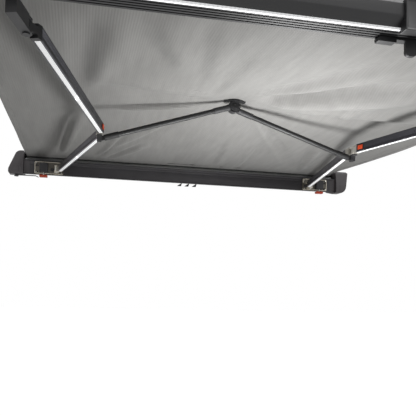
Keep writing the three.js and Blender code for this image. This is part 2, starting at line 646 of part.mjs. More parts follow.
// Lead rail: a hollow extrusion with a ribbed underside, a notch for the light strip along its lower outer
// edge and a groove for the fabric's bead on top
const notchInner = railInner - rail.bottomDepth + rail.notchDepth;
const notchOuter = railInner - rail.bottomDepth;
function railOutline(plain) {
  const outerFace = railInner - rail.depth;
  const ribs = Array.from({ length: rail.ribCount }, (_, index) => {
    const y = railInner - rail.ribStart - index * rail.ribPitch;
    return [[y, rail.bottom], [y, rail.bottom + rail.ribDepth], [y - rail.ribWidth, rail.bottom + rail.ribDepth],
      [y - rail.ribWidth, rail.bottom]];
  }).flat();
  const notch = [[notchInner, rail.bottom], [notchInner, rail.bottom + rail.notchHeight],
    [notchOuter, rail.bottom + rail.notchHeight]];
  const grooveY = railInner - rail.corner * 2;
  const groove = [[grooveY - rail.topGroove, rail.top], [grooveY - rail.topGroove, rail.top - rail.topGrooveDepth],
    [grooveY, rail.top - rail.topGrooveDepth], [grooveY, rail.top]];
  return outline([
    [railInner, rail.bottom],
    ...(plain ? [[notchOuter, rail.bottom, rail.corner / 2]] : [...ribs, ...notch]),
    [outerFace, rail.bulgeLow, rail.corner * 2], [outerFace, rail.bulgeHigh, rail.corner],
    [outerFace + rail.corner * 2, rail.top, rail.corner], ...(plain ? [] : groove), [railInner, rail.top, rail.corner / 2],
  ]);
}
const railHalf = halfWidth - rail.capThickness;
function leadRail() {
  const profile = railOutline(false);
  const outerFace = railInner - rail.depth;
  profile.holes.push(outline([
    [railInner - rail.wall, rail.bottom + rail.notchHeight + rail.wall],
    [railInner - rail.wall, rail.top - rail.topGrooveDepth - rail.wall],
    [outerFace + rail.corner * 2, rail.top - rail.topGrooveDepth - rail.wall, rail.corner / 2],
    [outerFace + rail.wall, rail.bulgeHigh, rail.corner / 2], [outerFace + rail.wall, rail.bulgeLow, rail.corner / 2],
    [notchOuter + rail.wall, rail.bottom + rail.notchHeight + rail.wall],
  ]));
  return prismX(profile, -railHalf, railHalf, 3);
}
add('lead_rail', leadRail(), blackCoat());
add('lead_rail_light', block3(-railHalf, railHalf, notchOuter + seatGap, notchInner - seatGap,
  rail.bottom + seatGap, rail.bottom + rail.notchHeight - seatGap), lightStrip());
addPair('rail_cap', prismX(railOutline(true), -halfWidth, -railHalf - seatGap, 3), blackPlastic);

// Wrist bracket: two ears for the wrist pin, a bar in line with the open forearm, and a plate screwed to the
// lead rail's underside
function wristBracket() {
  const top = rail.bottom - seatGap;
  const reach = (rail.fromPivot + railBracket.plateReach / 2) / restCos;
  const inset = (rail.fromPivot + railBracket.barInset) / restCos;
  const bar = (from, to, low, high) => block3(from, to, -railBracket.barHalf, railBracket.barHalf, low, high);
  const ear = (low, high) => join(
    rodZ(joint.earRadius, 0, 0, low, high), bar(0, railBracket.barStart + overrun, low, high));
  const arm3 = cut(
    join(
      ear(earInner, armHalf), ear(-armHalf, -earInner),
      bar(railBracket.barStart, inset, -armHalf, top),
      bar(railBracket.barStart, reach, top - railBracket.plateThickness, top)),
    rodZ(joint.pinRadius + seatGap, 0, 0, -armHalf - overrun, armHalf + overrun));
  const plate = block3(-shoulderX - rail.fromPivot * restSin / restCos - railBracket.plateHalf,
    -shoulderX - rail.fromPivot * restSin / restCos + railBracket.plateHalf, railInner - railBracket.plateReach,
    railInner - railBracket.barInset, top - railBracket.plateThickness, top);
  return join(arm3.rotateZ(radians(foreAngle)).translate(-shoulderX, wristY, 0), plate);
}
addPair('wrist_bracket', wristBracket(), blackCoat);
addPair('wrist_pin', headedPin(-shoulderX, wristY, armHalf + joint.pinHeadHeight / 2, -armHalf - seatGap), blackCoat);

// Travel catch under the middle of the lead rail, with a rounded tongue
function catchShape() {
  const top = rail.bottom - seatGap;
  const back = railInner;
  const front = railInner - railCatch.depth;
  const tongueLeft = railCatch.right - railCatch.tongueWidth;
  return join(
    prismY(rectangle(railCatch.left, railCatch.neckLeft, top - railCatch.thickness, top, railCatch.corner / 2), front, back),
    block3(railCatch.neckLeft - overrun, railCatch.right, front, back, top - railCatch.neckThickness, top),
    prismY(rectangle(tongueLeft, railCatch.right, top - railCatch.tongueDrop, top, railCatch.corner * 2),
      front, front + railCatch.tongueThickness));
}
add('rail_catch', catchShape(), blackPlastic());

// Fabric: from the top of the roller to the top of the lead rail, lifted over the hub, slack along its edges
function canopySheet() {
  const startY = roller.centreY;
  const startZ = roller.centreZ + roller.radius + canopy.rollerLift;
  const endY = railInner - rail.corner;
  const endZ = rail.top + canopy.railLift;
  const peakShare = (startY - elbowY) / (startY - endY);
  const peakZ = hubZ + brace.discRadius + hubPad.height + seatGap + canopy.padClear;
  const baseZ = (share) => startZ + (endZ - startZ) * share;
  const height = (across, share) => {
    const reach = share < peakShare ? (peakShare - share) / peakShare : (share - peakShare) / (1 - peakShare);
    const distance = Math.min(1, Math.pow(
      Math.pow(Math.abs(across), canopy.normPower) + Math.pow(reach, canopy.normPower), 1 / canopy.normPower));
    const fall = Math.max(0, distance - canopy.plateauShare) / (1 - canopy.plateauShare);
    const tent = (peakZ - baseZ(share)) * Math.pow(1 - fall, canopy.tentPower);
    const slack = canopy.edgeSag * 4 * share * (1 - share) * Math.pow(Math.abs(across), canopy.sagPower);
    const folds = canopy.foldDepth * Math.sin(Math.abs(across) * canopy.foldCount) * 4 * share * (1 - share) * fall;
    return baseZ(share) + tent - slack + folds;
  };
  const positions = [];
  const index = [];
  const columns = canopy.across + 1;
  const rows = canopy.along + 1;
  [canopy.thickness, 0].forEach((lift) => {
    for (let row = 0; row < rows; row += 1) {
      for (let column = 0; column < columns; column += 1) {
        const across = 2 * column / canopy.across - 1;
        const share = row / canopy.along;
        positions.push(across * canopyHalf, startY + (endY - startY) * share, height(across, share) + lift);
      }
    }
  });
  const under = columns * rows;
  const quad = (a, b, c, d) => index.push(a, b, c, a, c, d);
  for (let row = 0; row < canopy.along; row += 1) {
    for (let column = 0; column < canopy.across; column += 1) {
      const a = row * columns + column;
      quad(a, a + columns, a + columns + 1, a + 1);
      quad(under + a, under + a + 1, under + a + columns + 1, under + a + columns);
    }
  }
  for (let column = 0; column < canopy.across; column += 1) {
    const last = canopy.along * columns + column;
    quad(column, column + 1, under + column + 1, under + column);
    quad(last + 1, last, under + last, under + last + 1);
  }
  for (let row = 0; row < canopy.along; row += 1) {
    const first = row * columns;
    const last = first + canopy.across;
    quad(first + columns, first, under + first, under + first + columns);
    quad(last, last + columns, under + last + columns, under + last);
  }
  const geometry = new THREE.BufferGeometry();
  geometry.setAttribute('position', new THREE.Float32BufferAttribute(positions, 3));
  geometry.setIndex(index);
  geometry.computeVertexNormals();
  return geometry;
}
add('canopy', canopySheet(), cloth());

export default awning;
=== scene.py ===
# Vehicle side awning, seen from below and in front: the housing is the far bar, the lead rail the near one,
# with two folding arms, a brace whose hub lifts the fabric, and light strips under the arms and the rail.
# Metres. X runs along the housing, the awning opens towards -Y, Z is up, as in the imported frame.

import math

import bmesh
import bpy
from mathutils import Matrix, Vector, noise


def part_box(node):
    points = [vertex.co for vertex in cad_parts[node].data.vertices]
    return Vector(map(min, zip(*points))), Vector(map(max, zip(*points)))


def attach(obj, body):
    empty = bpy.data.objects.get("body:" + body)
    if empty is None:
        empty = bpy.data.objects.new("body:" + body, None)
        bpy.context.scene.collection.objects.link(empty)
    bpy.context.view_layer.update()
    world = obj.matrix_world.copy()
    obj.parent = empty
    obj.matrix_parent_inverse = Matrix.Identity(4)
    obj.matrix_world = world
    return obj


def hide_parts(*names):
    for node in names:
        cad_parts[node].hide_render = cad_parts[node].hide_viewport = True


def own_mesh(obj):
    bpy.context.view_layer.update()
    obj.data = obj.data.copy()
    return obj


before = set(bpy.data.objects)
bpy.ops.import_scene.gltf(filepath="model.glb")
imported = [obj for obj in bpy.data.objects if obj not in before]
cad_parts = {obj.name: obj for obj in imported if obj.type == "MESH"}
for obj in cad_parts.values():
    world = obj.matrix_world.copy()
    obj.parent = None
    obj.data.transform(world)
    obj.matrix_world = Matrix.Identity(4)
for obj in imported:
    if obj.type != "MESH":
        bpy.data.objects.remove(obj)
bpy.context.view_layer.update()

# Camera: it stands 0.9 m outside the lead rail and 0.57 m below the arms, and looks slightly up.
# The photograph is cropped from a wider one, so its optical centre lies left of and below the middle.
image_side = 416
film_width = 36
focal_pixels = 430.32
optical_centre = (142.41, 262.41)
camera_place = Vector((-0.6422, -2.638, -0.570))
camera_turns = (0.1494, -0.016, 0.0319)
to_camera = (
    Matrix.Rotation(camera_turns[0], 3, "Z")
    @ Matrix.Rotation(camera_turns[1], 3, "X")
    @ Matrix.Rotation(camera_turns[2], 3, "Y")
)
camera_data = bpy.data.cameras.new("camera")
camera_data.sensor_width = film_width
camera_data.lens = focal_pixels / image_side * film_width
camera_data.shift_x = 0.5 - optical_centre[0] / image_side
camera_data.shift_y = optical_centre[1] / image_side - 0.5
camera_data.clip_end = 100
camera = bpy.data.objects.new("camera", camera_data)
right, forward, up = to_camera.row
camera.matrix_world = Matrix.Translation(camera_place) @ Matrix((right, up, -forward)).transposed().to_4x4()
bpy.context.scene.collection.objects.link(camera)
bpy.context.scene.camera = camera
bpy.context.scene.view_settings.view_transform = "Standard"

# Floor and studio light: a white sweep lies two metres under the awning and shows white behind it, the sky is
# white and weak, and round soft lamps stand below, in front and above, as in a photographer's studio.
floor_height = -2.05
sweep_reach = 14
sweep_glow = 0.8
sky_level = 0.2
white = (1, 1, 1, 1)


# Colours are written as sRGB hex and turned to linear here.
def colour(code):
    parts = [int(code[i:i + 2], 16) / 255 for i in (1, 3, 5)]
    return tuple(p / 12.92 if p <= 0.04045 else ((p + 0.055) / 1.055) ** 2.4 for p in parts) + (1,)


def new_material(name):
    material = bpy.data.materials.new(name)
    material.use_nodes = True
    return material, material.node_tree.nodes["Principled BSDF"]


# Sets or links a node's sockets, which are called by name, with _ for a space, or by number, as i0.
def wire(owner, node, **inputs):
    for key, value in inputs.items():
        numbered = key[0] == "i" and key[1:].isdigit()
        socket = node.inputs[int(key[1:]) if numbered else key.replace("_", " ")]
        if isinstance(value, bpy.types.NodeSocket):
            owner.node_tree.links.new(value, socket)
        else:
            socket.default_value = value


# Adds a node to a material or to the world, with its settings and links.
def add_node(owner, kind, settings=None, **inputs):
    node = owner.node_tree.nodes.new(kind)
    for key, value in (settings or {}).items():
        setattr(node, key, value)
    wire(owner, node, **inputs)
    return node


# One for rays that look straight at the surroundings: from the camera, through clear material or off a gloss.
def direct_look(owner):
    seen = add_node(owner, "ShaderNodeLightPath")
    clear = add_node(
        owner, "ShaderNodeMath", {"operation": "MAXIMUM"},
        i0=seen.outputs["Is Camera Ray"], i1=seen.outputs["Is Transmission Ray"])
    direct = add_node(
        owner, "ShaderNodeMath", {"operation": "MAXIMUM"}, i0=clear.outputs[0], i1=seen.outputs["Is Glossy Ray"])
    return direct.outputs[0]


def matt_white_sweep():
    material, shader = new_material("white_sweep")
    wire(material, shader, Base_Color=colour("#f4f4f3"), Roughness=0.9)
    glow = add_node(material, "ShaderNodeEmission", Color=white, Strength=sweep_glow)
    both = add_node(material, "ShaderNodeAddShader", i0=glow.outputs[0], i1=shader.outputs[0])
    choice = add_node(
        material, "ShaderNodeMixShader", i0=direct_look(material), i1=shader.outputs[0], i2=both.outputs[0])
    wire(material, material.node_tree.nodes["Material Output"], Surface=choice.outputs[0])
    return material


sweep_mesh = bpy.data.meshes.new("sweep")
bm = bmesh.new()
bmesh.ops.create_grid(bm, x_segments=1, y_segments=1, size=sweep_reach)
bmesh.ops.translate(bm, verts=bm.verts, vec=(0, 0, floor_height))
bm.to_mesh(sweep_mesh)
bm.free()
sweep_mesh.materials.append(matt_white_sweep())
sweep = bpy.data.objects.new("sweep", sweep_mesh)
bpy.context.scene.collection.objects.link(sweep)

world = bpy.data.worlds.new("studio")
world.use_nodes = True
sky = world.node_tree.nodes["Background"]
wire(world, sky, Color=white, Strength=sky_level)
backdrop = add_node(world, "ShaderNodeBackground", Color=white)
choice = add_node(world, "ShaderNodeMixShader", i0=direct_look(world), i1=sky.outputs[0], i2=backdrop.outputs[0])
wire(world, world.node_tree.nodes["World Output"], Surface=choice.outputs[0])
bpy.context.scene.world = world

# Each lamp's name, where it stands, what it points at, its width and its power in watts.
soft_lamps = (
    ("lamp_below", (0.20, -1.10, -0.62), (0.12, -0.95, 0.1), 0.35, 11.5),
    ("lamp_front", (-1.2, -4.2, -0.9), (0.4, -0.4, 0.0), 1.6, 10),
    ("lamp_above", (1.5, -2.5, 3.2), (0, -0.8, 0), 2.5, 60),
)
for name, place, aim, width, power in soft_lamps:
    lamp_data = bpy.data.lights.new(name, "AREA")
    lamp_data.shape = "DISK"
    lamp_data.size = width
    lamp_data.energy = power
    lamp = bpy.data.objects.new(name, lamp_data)
    lamp.location = place
    lamp.rotation_euler = (Vector(aim) - Vector(place)).to_track_quat("-Z", "Y").to_euler()
    lamp.visible_camera = False
    bpy.context.scene.collection.objects.link(lamp)

# Housing: an aluminium extrusion with a black powder coat, which is sprayed on dry and baked.
# It is a dark satin with a fine dry grain that scatters the light, and slow clouds of thicker coat.
# A real grain is under half a millimetre, so it is drawn 1.2 mm wide to show.
coat_grain = 0.0012
coat_cloud = 1 / 9
housing_round = 0.0005
merge_distance = 0.00001
flat_angle = math.radians(0.4)
sharp_angle = 32


def darker(code, share):
    return tuple(part * share for part in colour(code)[:3]) + (1,)


def powder_coat(name, code, roughness, grain=coat_grain, metallic=0.0):
    material, shader = new_material(name)
    place = add_node(material, "ShaderNodeTexCoord").outputs["Object"]
    grains = add_node(
        material, "ShaderNodeTexNoise", Vector=place, Scale=1 / grain, Detail=2.0, Roughness=0.6)
    cloud = add_node(
        material, "ShaderNodeTexNoise", Vector=place, Scale=1 / coat_cloud, Detail=3.0, Roughness=0.55)
    tint = add_node(
        material, "ShaderNodeMix", {"data_type": "RGBA"},
        i0=cloud.outputs[0], i6=darker(code, 0.72), i7=colour(code))
    shade = add_node(
        material, "ShaderNodeMapRange",
        i0=cloud.outputs[0], i1=0.3, i2=0.7, i3=roughness - 0.06, i4=roughness + 0.06)
    bump = add_node(material, "ShaderNodeBump", Strength=0.25, Distance=0.0002, Height=grains.outputs[0])
    wire(
        material, shader, Base_Color=tint.outputs[2], Metallic=metallic, Roughness=shade.outputs[0],
        Normal=bump.outputs[0])
    return material


# The CAD node keeps its shape and takes a material.
def dress(material, *names):
    for name in names:
        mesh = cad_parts[name].data
        mesh.materials.clear()
        mesh.materials.append(material)


# A mesh made with bmesh becomes a piece that rides on a body and takes a material.
def piece_from(bm, name, body, material, smooth=sharp_angle):
    mesh = bpy.data.meshes.new(name)
    bm.to_mesh(mesh)
    bm.free()
    mesh.shade_smooth()
    mesh.set_sharp_from_angle(angle=math.radians(smooth))
    mesh.materials.append(material)
    piece = bpy.data.objects.new(name, mesh)
    bpy.context.scene.collection.objects.link(piece)
    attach(piece, body)
    return piece


# A copy of a CAD node's loose triangles, merged into its real faces.
def merged_copy(name):
    bm = bmesh.new()
    bm.from_mesh(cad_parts[name].data)
    bmesh.ops.remove_doubles(bm, verts=bm.verts, dist=merge_distance)
    bmesh.ops.dissolve_limit(bm, angle_limit=flat_angle, verts=bm.verts, edges=bm.edges)
    return bm


# Sharp edges get the small round that a die, a mould or a casting leaves.
def round_edges(piece, width, segments, angle=sharp_angle, harden=True):
    edge = piece.modifiers.new("edge", "BEVEL")
    edge.width = width
    edge.segments = segments
    edge.limit_method = "ANGLE"
    edge.angle_limit = math.radians(angle)
    edge.harden_normals = harden


# A CAD node's shape with its edges rounded, which stands for the node.
def rounded(name, body, material, width, segments=2):
    piece = piece_from(merged_copy(name), name + "_finished", body, material)
    round_edges(piece, width, segments)
    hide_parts(name)


housing_finish = powder_coat("powder_coated_housing", "#2c2a2d", 0.44)
rounded("housing_shell", "housing", housing_finish, housing_round)

# End caps: moulded ABS, dyed black in the mass, with a fine spark-eroded grain from the mould, so a soft satin.
# They are pushed over the extrusion's ends, and the outer wall leans into the roof or the floor in a wide round.
# The real grain is finer than a render shows, so it is drawn 0.9 mm wide.
cap_grain = 0.0009
plastic_cloud = 1 / 14
cap_reach = 1.05
cap_round = 0.045
cap_facets = 7
last_facet = math.radians(84)
cap_edge = 0.003
# Each cap's side and its sign along X, 1 for a round at the roof or -1 at the floor, the height at which the wall
# starts to lean, and the lean in degrees.
cap_forms = (("left", -1, 1, -0.008, 22), ("right", 1, -1, 0.095, 9))


def moulded_plastic(name, code, roughness, grain=cap_grain, strength=0.3):
    material, shader = new_material(name)
    place = add_node(material, "ShaderNodeTexCoord").outputs["Object"]
    pits = add_node(
        material, "ShaderNodeTexVoronoi", {"feature": "SMOOTH_F1"}, Vector=place, Scale=1 / grain)
    cloud = add_node(
        material, "ShaderNodeTexNoise", Vector=place, Scale=1 / plastic_cloud, Detail=4.0, Roughness=0.6)
    tint = add_node(
        material, "ShaderNodeMix", {"data_type": "RGBA"},
        i0=cloud.outputs[0], i6=darker(code, 0.8), i7=colour(code))
    shade = add_node(
        material, "ShaderNodeMapRange",
        i0=cloud.outputs[0], i1=0.3, i2=0.7, i3=roughness - 0.05, i4=roughness + 0.07)
    bump = add_node(
        material, "ShaderNodeBump", Strength=strength, Distance=0.00015, Height=pits.outputs["Distance"])
    wire(
        material, shader, Base_Color=tint.outputs[2], Roughness=shade.outputs[0], IOR=1.54,
        Normal=bump.outputs[0])
    return material


# Cuts the outer wall with planes that turn from its lean to the flat of the roof or the floor.
def lean_and_round(bm, sign, towards, start_z, flat_z, lean):
    centre_z = flat_z - towards * cap_round
    leant = (start_z - centre_z) * towards * math.sin(lean)
    centre_x = cap_reach - (cap_round - leant) / math.cos(lean)
    for step in range(cap_facets + 1):
        angle = lean + (last_facet - lean) * step / cap_facets
        facing = Vector((sign * math.cos(angle), 0, towards * math.sin(angle)))
        touch = Vector((sign * centre_x, 0, centre_z)) + facing * cap_round
        bmesh.ops.bisect_plane(
            bm, geom=bm.verts[:] + bm.edges[:] + bm.faces[:], dist=merge_distance, plane_co=touch,
            plane_no=facing, clear_outer=True)
        bmesh.ops.holes_fill(bm, edges=[edge for edge in bm.edges if edge.is_boundary], sides=0)


cap_finish = moulded_plastic("grained_abs_caps", "#3d393b", 0.48)
for side, sign, towards, start_z, lean in cap_forms:
    name = "end_cap_" + side
    low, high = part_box(name)
    bm = merged_copy(name)
    lean_and_round(bm, sign, towards, start_z, high[2] if towards > 0 else low[2], math.radians(lean))
    bmesh.ops.recalc_face_normals(bm, faces=bm.faces)
    cap = piece_from(bm, name + "_moulded", "housing", cap_finish)
    round_edges(cap, cap_edge, 3)
    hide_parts(name)

# Cap screws: zinc-plated steel, whose plating is bright with a faint milky haze. One screw through each cap's
# outer wall holds it to the extrusion. A head is a low cone with a round recess.
metal_haze = 0.00625
cap_screw_radius = 0.0042
cap_screw_height = 0.0004
cap_screw_places = {"left": (-1.0495, -0.05, -0.016), "right": (1.0495, -0.05, 0.098)}
head_taper = 0.72
head_rim = 0.3
recess_depth = 0.5
sides = {"left": -1, "right": 1}


def bright_metal(name, code, roughness):
    material, shader = new_material(name)
    place = add_node(material, "ShaderNodeTexCoord").outputs["Object"]
    haze = add_node(
        material, "ShaderNodeTexNoise", Vector=place, Scale=1 / metal_haze, Detail=4.0, Roughness=0.6)
    tint = add_node(
        material, "ShaderNodeMix", {"data_type": "RGBA"},
        i0=haze.outputs[0], i6=darker(code, 0.78), i7=colour(code))
    shade = add_node(
        material, "ShaderNodeMapRange",
        i0=haze.outputs[0], i1=0.3, i2=0.7, i3=roughness - 0.07, i4=roughness + 0.1)
    wire(material, shader, Base_Color=tint.outputs[2], Metallic=1.0, Roughness=shade.outputs[0])
    return material


def screws(name, body, places, facing, radius, height):
    facing = Vector(facing)
    turn = Vector((0, 0, 1)).rotation_difference(facing).to_matrix().to_4x4()
    bm = bmesh.new()
    for place in places:
        head = bmesh.ops.create_cone(
            bm, cap_ends=True, segments=20, radius1=radius, radius2=radius * head_taper, depth=height,
            matrix=Matrix.Translation(place) @ turn @ Matrix.Translation((0, 0, height / 2)))
        faces = {face for vert in head["verts"] for face in vert.link_faces}
        top = max(
            (face for face in faces if len(face.verts) > 4),
            key=lambda face: (face.calc_center_median() - Vector(place)).dot(facing))
        bmesh.ops.inset_region(bm, faces=[top], thickness=radius * head_rim)
        bmesh.ops.translate(bm, verts=top.verts, vec=facing * -height * recess_depth)
    bmesh.ops.recalc_face_normals(bm, faces=bm.faces)
    piece_from(bm, name, body, zinc_plate)


zinc_plate = bright_metal("zinc_plated_steel", "#c4c4c2", 0.34)
for side, sign in sides.items():
    screws(
        "cap_screws_" + side, "housing", [cap_screw_places[side]], (sign, 0, 0), cap_screw_radius,
        cap_screw_height)

# Recess plates: a thin black moulded plate with a rim behind each end recess of the front wall. It is painted
# shade:
# a dark sheet that stands for the shade inside the housing and keeps the backdrop from showing through the recess.
shade_plate_low = Vector((0.9335, -0.0998, -0.0225))
shade_plate_high = Vector((0.9672, -0.0985, 0.0525))
plate_rim = 0.003
plate_dish = 0.0007


# A plain block to work from.
def add_block(bm, centre, size):
    return bmesh.ops.create_cube(bm, size=1, matrix=Matrix.Translation(centre) @ Matrix.Diagonal((*size, 1)))


# Sets each face on the front, the side towards -Y, back inside a rim.
def sink_front(bm, rim, depth):
    front = [face for face in bm.faces if face.normal.y < -0.9]
    bmesh.ops.inset_individual(bm, faces=front, thickness=rim)
    bmesh.ops.translate(bm, verts=list({vert for face in front for vert in face.verts}), vec=(0, depth, 0))


# Painted shade: each black plate darkens its recess, where the inside of the housing lies in shade.
for side, sign in sides.items():
    centre = (shade_plate_low + shade_plate_high) / 2
    centre.x *= sign
    bm = bmesh.new()
    add_block(bm, centre, shade_plate_high - shade_plate_low)
    sink_front(bm, plate_rim, plate_dish)
    piece_from(bm, "recess_shade_plate_" + side, "housing", cap_finish)

# Roller: an aluminium tube with one groove for the fabric's bead, drawn to size and left as it comes from the
# mill, so a dull silver. It turns on two steel pins, blackened so that they don't rust. The fabric lies on it.
mill_aluminium = bright_metal("mill_finish_aluminium", "#b9babb", 0.38)
dress(mill_aluminium, "roller_tube")
dress(powder_coat("blackened_steel_pins", "#202022", 0.4, metallic=0.6), "roller_pin_left", "roller_pin_right")

# Shoulder brackets: gravity die-cast aluminium frames, tumbled and lacquered, so pale and satin with a warm cast.
# Painted shade darkens the pocket inside their rib, more with depth. The pits of the tumbled skin are drawn 2.2 mm
# wide to show. Each has a black nylon spring block in its window, and four zinc-plated screws hold it to the
# housing.
cast_pit = 0.0022
cast_cloud = 0.03125
cast_round = 0.0008
block_round = 0.001
# The depths in Y over which the painted shade in the bracket's pocket grows.
bracket_pocket_shade = (-0.1125, -0.1105)
bracket_face = -0.1143
bracket_screw_radius = 0.0036
bracket_screw_height = 0.0018
outer_inset = 0.009
inner_inset = 0.010
top_inset = 0.009
bottom_inset = 0.008


def die_cast(name, code, roughness, pocket_shade=None):
    material, shader = new_material(name)
    place = add_node(material, "ShaderNodeTexCoord").outputs["Object"]
    pits = add_node(
        material, "ShaderNodeTexNoise", Vector=place, Scale=1 / cast_pit, Detail=3.0, Roughness=0.65)
    cloud = add_node(
        material, "ShaderNodeTexNoise", Vector=place, Scale=1 / cast_cloud, Detail=3.0, Roughness=0.55)
    tint = add_node(
        material, "ShaderNodeMix", {"data_type": "RGBA"},
        i0=cloud.outputs[0], i6=darker(code, 0.62), i7=colour(code))
    # Painted shade: the pocket inside the rib is tinted darker with depth, towards #2b2826, where shade would
    # fall.
    if pocket_shade:
        axes = add_node(material, "ShaderNodeSeparateXYZ", Vector=place)
        depth = add_node(
            material, "ShaderNodeMapRange", i0=axes.outputs[1], i1=pocket_shade[0], i2=pocket_shade[1], i3=0.0, i4=0.8)
        tint = add_node(
            material, "ShaderNodeMix", {"data_type": "RGBA"},
            i0=depth.outputs[0], i6=tint.outputs[2], i7=colour("#2b2826"))
    shade = add_node(
        material, "ShaderNodeMapRange",
        i0=pits.outputs[0], i1=0.3, i2=0.7, i3=roughness - 0.1, i4=roughness + 0.1)
    bump = add_node(material, "ShaderNodeBump", Strength=0.35, Distance=0.0003, Height=pits.outputs[0])
    wire(
        material, shader, Base_Color=tint.outputs[2], Metallic=0.75, Roughness=shade.outputs[0],
        Normal=bump.outputs[0])
    return material


bracket_finish = die_cast("die_cast_brackets", "#dad3c4", 0.4, pocket_shade=bracket_pocket_shade)
casting_finish = die_cast("die_cast_arm_ends", "#cfccc4", 0.34)
block_finish = moulded_plastic("nylon_blocks", "#222124", 0.45)
for side, sign in sides.items():
    rounded("shoulder_bracket_" + side, "housing", bracket_finish, cast_round)
    rounded("shoulder_block_" + side, "housing", block_finish, block_round)
    low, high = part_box("shoulder_bracket_" + side)
    outer, inner = (low[0], high[0]) if sign < 0 else (high[0], low[0])
    corners = [
        (x, bracket_face, z)
        for x in (outer - sign * outer_inset, inner + sign * inner_inset)
        for z in (high[2] - top_inset, low[2] + bottom_inset)]
    screws(
        "bracket_screws_" + side, "housing", corners, (0, -1, 0), bracket_screw_radius, bracket_screw_height)
    dress(zinc_plate, "shoulder_pin_" + side, "elbow_pin_" + side)

# Release pulls: a zinc-plated stem runs up into the spring block, and an orange nylon tab is moulded round its
# lower end. The nylon is dyed through and a little glossy. Three finger ridges run across the tab's front.
tab_round = 0.0018
ridge_size = (0.003, 0.0012, 0.0075)
ridge_pitch = 0.009
ridge_sunk = 0.0002
ridge_round = 0.0005
tab_finish = moulded_plastic("orange_nylon_tabs", "#bb3a08", 0.42, strength=0.2)
for side in sides:
    body = "release_" + side
    dress(zinc_plate, "release_stem_" + side)
    rounded("release_tab_" + side, body, tab_finish, tab_round, segments=3)
    low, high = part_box("release_tab_" + side)
    bm = bmesh.new()
    for step in (-1, 0, 1):
        x = (low[0] + high[0]) / 2 + step * ridge_pitch
        ridge = add_block(bm, (x, low[1] + ridge_sunk, (low[2] + high[2]) / 2), ridge_size)
        bmesh.ops.bevel(
            bm, geom=list({edge for vert in ridge["verts"] for edge in vert.link_edges}), offset=ridge_round,
            segments=2, profile=0.5, affect="EDGES", material=-1)
    piece_from(bm, "tab_ridges_" + side, body, tab_finish)

# Travel latch and feet: the latch is a thin strap of moulded black nylon that turns on a knob under the left cap.
# The three feet under the housing's middle are blocks of black rubber, matt and coarse, glued on.
# The rubber's grain is drawn 1.6 mm wide to show.
latch_round = 0.0006
foot_round = 0.0012
rubber_grain = 0.0016
strap_finish = moulded_plastic("nylon_latch", "#1d1d1f", 0.48)
rounded("latch_lever", "latch", strap_finish, latch_round)
rounded("latch_knob", "housing", strap_finish, latch_round)
rubber_finish = moulded_plastic("black_rubber_feet", "#161617", 0.82, grain=rubber_grain, strength=0.5)
for name in ("foot_left", "foot_centre", "foot_right"):
    rounded(name, "housing", rubber_finish, foot_round)

# Folding arms: aluminium extrusions, anodised dark grey, with four fine ribs along each side from the die.
# The anodic layer is thin and clear, so the die's long drawing lines still show in the gloss. They are drawn
# 1.1 mm apart to show.
arm_angle = math.radians(15.9)
arm_colours = {"upper_arm": "#68656a", "forearm": "#4a4a4f"}
arm_round = 0.0005
die_line = 0.0011
line_stretch = 0.012
anodic_cloud = 1 / 11


def anodised(name, code, roughness, turn):
    material, shader = new_material(name)
    place = add_node(material, "ShaderNodeTexCoord").outputs["Object"]
    along = add_node(
        material, "ShaderNodeMapping", Vector=place, Rotation=(0, 0, turn), Scale=(1, line_stretch, 1))
    lines = add_node(
        material, "ShaderNodeTexNoise", Vector=along.outputs[0], Scale=1 / die_line, Detail=2.0, Roughness=0.5)
    cloud = add_node(
        material, "ShaderNodeTexNoise", Vector=place, Scale=1 / anodic_cloud, Detail=3.0, Roughness=0.5)
    tint = add_node(
        material, "ShaderNodeMix", {"data_type": "RGBA"},
        i0=lines.outputs[0], i6=darker(code, 0.6), i7=colour(code))
    shade = add_node(
        material, "ShaderNodeMapRange",
        i0=cloud.outputs[0], i1=0.3, i2=0.7, i3=roughness - 0.06, i4=roughness + 0.06)
    bump = add_node(material, "ShaderNodeBump", Strength=0.2, Distance=0.0001, Height=lines.outputs[0])
    wire(
        material, shader, Base_Color=tint.outputs[2], Metallic=0.9, Roughness=shade.outputs[0],
        Normal=bump.outputs[0])
    return material


for side, sign in sides.items():
    for part, body, turn in (("upper_arm", "upper_", sign * arm_angle), ("forearm", "fore_", -sign * arm_angle)):
        arm_finish = anodised("anodised_" + part + "_" + side, arm_colours[part], 0.34, turn)
        rounded(part + "_" + side, body + side, arm_finish, arm_round)

# Light strips: white LEDs on a tape under a clear-white acrylic diffuser, pressed into the arms' and rail's
# grooves. The diodes sit 10 mm apart and show as a faint row of brighter points along a bright middle line.
diode_pitch = 0.010
between_diodes = 0.72
beam_core = 0.15
edge_glow = 0.22
arm_glow = 1.25
arm_strip_half = 0.009


